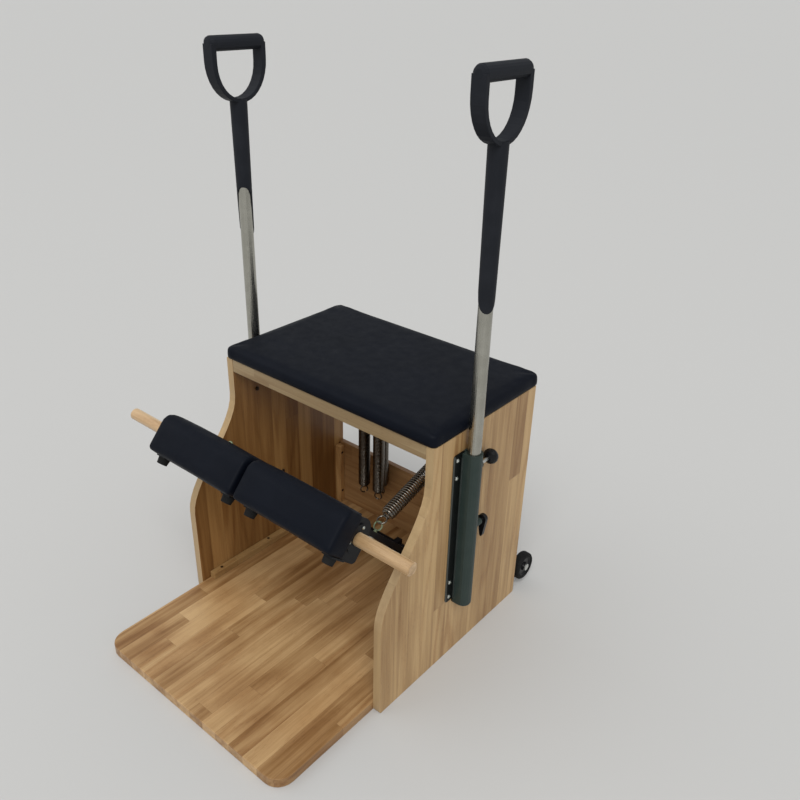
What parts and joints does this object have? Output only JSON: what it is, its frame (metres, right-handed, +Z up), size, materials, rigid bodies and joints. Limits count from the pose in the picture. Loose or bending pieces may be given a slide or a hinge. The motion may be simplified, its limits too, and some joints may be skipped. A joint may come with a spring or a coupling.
{
  "type": "split-pedal exercise chair",
  "caption": "Wooden exercise chair with an upholstered seat, split sprung pedals joined by a dowel, tall adjustable side handles and rear transport wheels.",
  "frame": {"origin": "on the underside of the base board, midway between the side panels and below the middle of the seat", "axes": "+X towards the right side panel, with the sprung pedal; -Y towards the pedals at the front; +Z up"},
  "size_m": [0.859, 0.886, 1.294],
  "materials": {
    "light_wood": "clear satin varnish on finger-jointed light hardwood",
    "dowel_wood": "sanded and varnished",
    "navy_vinyl": "near-black navy upholstery vinyl, satin",
    "black_board": "black-covered backing board, matt",
    "black_steel": "black powder coat, satin",
    "grey_green_steel": "dark grey-green powder coat, satin",
    "chrome": "bright chrome plating",
    "zinc_steel": "zinc plated",
    "spring_steel": "dark oiled spring wire",
    "black_plastic": "moulded, slight sheen",
    "black_rubber": "matt",
    "grip_rubber": "matt moulded grip"
  },
  "bodies": {
    "chair": {"active_spring": "spring_steel", "back_panel": "light_wood", "base_board": "light_wood", "centre_axle_bracket": "black_steel", "front_rail": "light_wood", "left_axle_bracket": "black_steel", "left_corner_cleat": "light_wood", "left_floor_cleat": "light_wood", "left_receiver": "grey_green_steel", "left_side_panel": "light_wood", "left_wheel_bracket": "black_steel", "pivot_axle": "zinc_steel", "rear_rail": "light_wood", "right_axle_bracket": "black_steel", "right_corner_cleat": "light_wood", "right_floor_cleat": "light_wood", "right_receiver": "grey_green_steel", "right_side_panel": "light_wood", "right_wheel_bracket": "black_steel", "seat_board": "light_wood", "seat_pad": "navy_vinyl", "spring_eye_1": "zinc_steel", "spring_eye_2": "zinc_steel", "spring_eye_3": "zinc_steel", "spring_eye_4": "zinc_steel"},
    "right_pedal": {"right_pedal_frame": "black_steel", "right_pedal_bracket": "black_steel", "right_pedal_board": "black_board", "right_pedal_pad": "navy_vinyl", "right_pedal_dowel_flange": "black_steel", "right_pedal_inner_bumper": "black_rubber", "right_pedal_outer_bumper": "black_rubber", "right_pedal_eye": "zinc_steel"},
    "left_pedal": {"left_pedal_frame": "black_steel", "left_pedal_bracket": "black_steel", "left_pedal_board": "black_board", "left_pedal_pad": "navy_vinyl", "left_pedal_dowel_flange": "black_steel", "left_pedal_inner_bumper": "black_rubber", "left_pedal_outer_bumper": "black_rubber", "left_pedal_eye": "zinc_steel"},
    "dowel": {"dowel": "dowel_wood"},
    "hanging_spring_1": {"hanging_spring_1": "spring_steel"},
    "hanging_spring_2": {"hanging_spring_2": "spring_steel"},
    "hanging_spring_3": {"hanging_spring_3": "spring_steel"},
    "left_handle": {"left_handle_tube": "chrome", "left_grip": "grip_rubber"},
    "left_lock_knob": {"left_lock_knob": "black_plastic"},
    "left_pull_pin": {"left_pull_pin": "black_plastic"},
    "left_wheel": {"left_wheel": "zinc_steel", "left_tyre": "black_rubber"},
    "right_handle": {"right_handle_tube": "chrome", "right_grip": "grip_rubber"},
    "right_lock_knob": {"right_lock_knob": "black_plastic"},
    "right_pull_pin": {"right_pull_pin": "black_plastic"},
    "right_wheel": {"right_wheel": "zinc_steel", "right_tyre": "black_rubber"}
  },
  "joints": [
    {"name": "right_pedal_pivot", "type": "hinge", "parent": "chair", "child": "right_pedal", "pos_m": [0, 0.085, 0.044], "axis": [1, 0, 0], "range_deg": [0, 38], "stiffness_Nm_per_rad": 110, "springref_deg": -28.65, "deforming": ["active_spring"]},
    {"name": "left_pedal_pivot", "type": "hinge", "parent": "chair", "child": "left_pedal", "pos_m": [0, 0.085, 0.044], "axis": [1, 0, 0], "range_deg": [0, 38]},
    {"name": "dowel_slide", "type": "slide", "parent": "right_pedal", "child": "dowel", "axis": [1, 0, 0], "range_m": [-0.11, 0.16]},
    {"name": "hanging_spring_1_swing", "type": "hinge", "parent": "chair", "child": "hanging_spring_1", "pos_m": [-0.1486, 0.1195, 0.5415], "axis": [1, 0, 0], "range_deg": [-30, 1]},
    {"name": "hanging_spring_2_swing", "type": "hinge", "parent": "chair", "child": "hanging_spring_2", "pos_m": [-0.097, 0.1195, 0.5415], "axis": [1, 0, 0], "range_deg": [-15, 0.2]},
    {"name": "hanging_spring_3_swing", "type": "hinge", "parent": "chair", "child": "hanging_spring_3", "pos_m": [-0.109, 0.15, 0.5415], "axis": [1, 0, 0], "range_deg": [-15, 0.2]},
    {"name": "left_handle_height", "type": "slide", "parent": "chair", "child": "left_handle", "axis": [0, 0, 1], "range_m": [-0.17, 0.12]},
    {"name": "left_lock_knob_turn", "type": "hinge", "parent": "chair", "child": "left_lock_knob", "pos_m": [-0.3313, -0.084, 0.513], "axis": [0, 1, 0], "range_deg": [0, 720]},
    {"name": "left_pull_pin_slide", "type": "slide", "parent": "chair", "child": "left_pull_pin", "axis": [0, 1, 0], "range_m": [0, 0.008], "stiffness_N_per_m": 900, "springref_m": -0.005},
    {"name": "left_wheel_spin", "type": "hinge", "parent": "chair", "child": "left_wheel", "pos_m": [-0.302, 0.237, 0.05], "axis": [1, 0, 0], "continuous": true},
    {"name": "right_handle_height", "type": "slide", "parent": "chair", "child": "right_handle", "axis": [0, 0, 1], "range_m": [-0.17, 0.12]},
    {"name": "right_lock_knob_turn", "type": "hinge", "parent": "chair", "child": "right_lock_knob", "pos_m": [0.3313, -0.076, 0.513], "axis": [0, 1, 0], "range_deg": [0, 720]},
    {"name": "right_pull_pin_slide", "type": "slide", "parent": "chair", "child": "right_pull_pin", "axis": [0, 1, 0], "range_m": [0, 0.008], "stiffness_N_per_m": 900, "springref_m": -0.005},
    {"name": "right_wheel_spin", "type": "hinge", "parent": "chair", "child": "right_wheel", "pos_m": [0.302, 0.237, 0.05], "axis": [1, 0, 0], "continuous": true}
  ],
  "couplings": [
    {"joint": "left_pedal_pivot", "follows": "right_pedal_pivot", "ratio": 1},
    {"joint": "hanging_spring_3_swing", "follows": "hanging_spring_2_swing", "ratio": 1}
  ]
}
